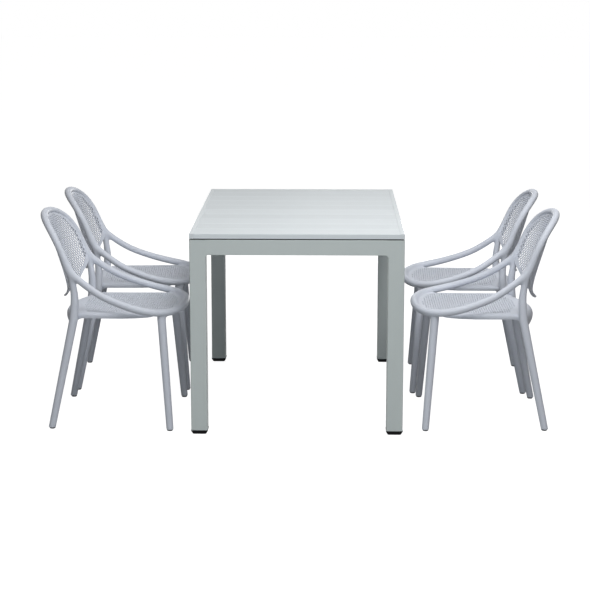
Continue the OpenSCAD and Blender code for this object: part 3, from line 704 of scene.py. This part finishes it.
def walled(points, tris, quads, thickness):
    """Gives a sheet its wall. A point's normal is the sum of its faces' area vectors; the point
    goes half the thickness each way along it, and each open edge gets a strip between the skins."""
    a, b, c = points[tris.T]
    e, f, g, h = points[quads.T]
    area = [np.cross(b - a, c - a), np.cross(g - e, h - f)]
    normal = np.zeros_like(points)
    for f, v in zip((tris, quads), area):
        for corner in range(f.shape[1]):
            for k in range(3):
                normal[:, k] += np.bincount(f[:, corner], v[:, k], len(points))
    normal *= thickness / 2 / np.linalg.norm(normal, axis=1)[:, None]
    start = np.concatenate([f.ravel() for f in (tris, quads)])
    end = np.concatenate([np.roll(f, -1, 1).ravel() for f in (tris, quads)])
    n = len(points)
    open_edge = ~np.isin(start * n + end, end * n + start)
    a, b = start[open_edge], end[open_edge]
    strip = np.column_stack([b, a, a + n, b + n])
    skins = [tris, quads, tris[:, ::-1] + n, quads[:, ::-1] + n, strip]
    return (np.vstack([points + normal, points - normal]),
            [face for skin_faces in skins for face in skin_faces.tolist()])


back_points, back_faces = walled(back_sheet, faces[:, ::-1], np.empty((0, 4), int), back_wall)
for n, place in enumerate(chair_places, 1):
    shell = piece(f"chair_{n}_pierced_back", stand(back_points, place), back_faces, resin,
                  f"chair_{n}", 35)
    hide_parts(f"chair_{n}_back")

# ---------------------------------------------------------------- chair seat
# A shallow dished resin shell, moulded in one with the front of the hoop. Fine staggered holes
# pierce it, its sides are rolled down, and a deep rolled lip closes it at the back.
seat_level = 0.4335
seat_wall = 0.0040
seat_dip = 0.0045


def beside(line, gap):
    """Points on the inner side of a line seen from above: each goes square to the line by gap
    plus the line's radius."""
    ahead = np.roll(line[:, :2], -1, 0) - np.roll(line[:, :2], 1, 0)
    ahead /= np.linalg.norm(ahead, axis=1)[:, None]
    return line[:, :2] + (line[:, 3] + gap)[:, None] * np.column_stack([ahead[:, 1], -ahead[:, 0]])


# Half outlines from the middle of the back: where the edge ends and where it starts to roll.
# The last two columns say how much it rolls as the rear lip and how much it rises into the rim.
rolled_edge = np.array([(-189, 0, 1, 0), (-187.4, 34, 1, 0), (-182.5, 68, 1, 0),
                        (-173.5, 104, 1, 0), (-160.5, 138.5, 1, 0), (-146, 168, 0.8, 0),
                        (-130, 190, 0.3, 0), (-106, 200, 0, 0), (-70, 203, 0, 0), (-20, 204, 0, 0),
                        (40, 205, 0, 0), (95, 208, 0, 0), (140, 211, 0, 0),
                        (172, 206, 0, 0.3)]) / (1000, 1000, 1, 1)
flat_edge = np.array([(-132, 0), (-130.6, 28.5), (-126.5, 57), (-118.9, 87.4), (-108, 116.5),
                      (-100, 146), (-99, 172), (-90, 187), (-66, 191), (-20, 192), (40, 193),
                      (95, 195), (137, 194), (163, 188)]) / 1000
rim_points = slice(80, 105, 4)
in_rim = beside(hoop, -0.006)[rim_points]
in_rim = np.column_stack([in_rim, np.zeros(len(in_rim)), np.ones(len(in_rim))])
outer_keys = np.vstack([rolled_edge, in_rim])
inner_keys = np.vstack([flat_edge, beside(hoop, 0.0096)[rim_points]])


def both_sides(half):
    """Closed outline from its half with positive y: the half, then its inner points in the
    opposite order with y turned round, all smoothed."""
    flip = np.ones(half.shape[1])
    flip[1] = -1
    return spline(np.vstack([half, half[-2:0:-1] * flip]), 5, True)


outer = both_sides(outer_keys)
inner = both_sides(inner_keys)
lip, rise = np.clip(outer[:, 2:].T, 0, 1)
# Sections across the edge, from the flat outwards: share of the way out, and height in
# millimetres. The side's drop fades towards the front, where it meets the rim.
lip_row = spline(np.array([(0, 0), (0.72, -6.7), (0.975, -19.7), (1, -39.7), (0.86, -59.7)]),
                 3, False)
side_row = spline(np.array([(0, 0), (0.58, -1.5), (0.96, -6), (1, -12), (0.9, -18)]), 3, False)
rim_row = spline(np.array([(0, 0), (0.4, 1.7), (0.62, 4.6), (0.8, 8), (1, 9.5)]), 3, False)
fade = np.interp(outer[:, 0], [0.04, 0.095, 0.14, 0.19], [1, 0.85, 0.62, 0.5])
side_rows = side_row[:, None] * np.column_stack([np.ones(len(fade)), fade])
row = (lip_row[:, None] * lip[:, None] + rim_row[:, None] * rise[:, None]
       + side_rows * (1 - lip - rise)[:, None])
spots = staggered((0.018, 0.012), (-0.2, -0.2), (0.26, 0.2))
depth = edge_distance(spots, inner)
flat, faces = pierced_sheet(inner, spots[depth > 0.009], soft_diamond(0.0034, 0.0038),
                            spots[(depth <= 0.009) & (depth > 0.004)])
dip = np.clip(edge_distance(flat, inner) / 0.13, 0, 1)
plate = np.column_stack([flat, seat_level - seat_dip * dip ** 2 * (3 - 2 * dip)])
edge_xy = inner[None] + row[1:, :, :1] * (outer[:, :2] - inner)[None]
edge_points = np.dstack([edge_xy, seat_level + row[1:, :, 1] / 1000]).reshape(-1, 3)
n = len(inner)
i, j = np.meshgrid(np.arange(len(row) - 1), np.arange(n), indexing="ij")
ring = np.vstack([np.arange(n)[None], len(plate) + np.arange(len(edge_points)).reshape(-1, n)])
k = (j + 1) % n
edge_faces = np.stack([ring[i, j], ring[i, k], ring[i + 1, k], ring[i + 1, j]], -1).reshape(-1, 4)
seat_points, seat_faces = walled(np.vstack([plate, edge_points]), faces, edge_faces, seat_wall)
for n, place in enumerate(chair_places, 1):
    shell = piece(f"chair_{n}_pierced_seat", stand(seat_points, place), seat_faces, resin,
                  f"chair_{n}", 35)
    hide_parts(f"chair_{n}_seat")

# ---------------------------------------------------------------- chair glides
# Dark moulded discs pressed into the feet.
glide = skin("glide", (0.05, 0.055, 0.062), 0.5, mottle=0.2, patch=60)
dress([f"chair_{n}_glides" for n in range(1, 5)], glide)
